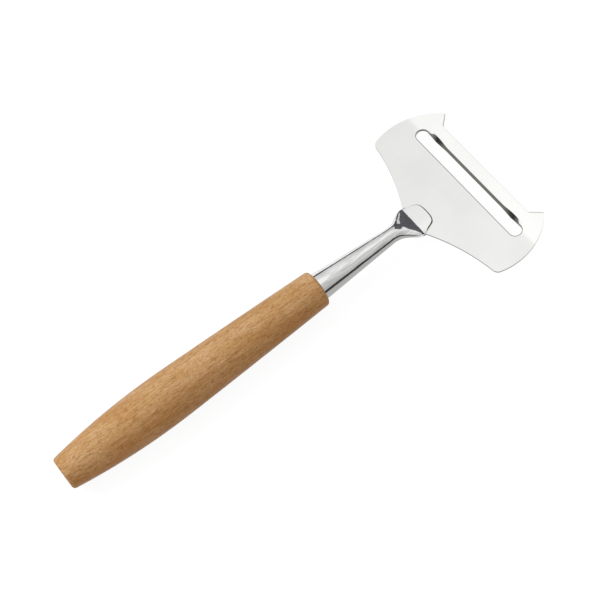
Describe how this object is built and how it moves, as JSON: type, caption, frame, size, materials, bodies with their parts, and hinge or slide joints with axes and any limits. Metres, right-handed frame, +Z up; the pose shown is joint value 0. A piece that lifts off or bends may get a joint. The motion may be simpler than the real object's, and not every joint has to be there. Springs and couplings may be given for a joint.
{
  "type": "cheese slicer",
  "caption": "Cheese slicer with a turned wooden handle, a tapered steel tube pressed flat into a paddle, and an eared plate blade with a long slot and a sharp lip.",
  "frame": {"origin": "centre of the handle's flat butt end", "axes": "+X along the handle's axis to the blade, +Y across the tool, +Z up off the blade's top face"},
  "size_m": [0.2186, 0.084, 0.0214],
  "materials": {
    "beech": "turned beech, fine sanded, lightly oiled, with short dark flecks along the grain",
    "polished_steel": "mirror polished stainless steel tube",
    "blade_steel": "satin polished stainless steel sheet"
  },
  "bodies": {
    "root": {"handle": "beech", "shank": "polished_steel", "blade": "blade_steel"}
  },
  "joints": []
}
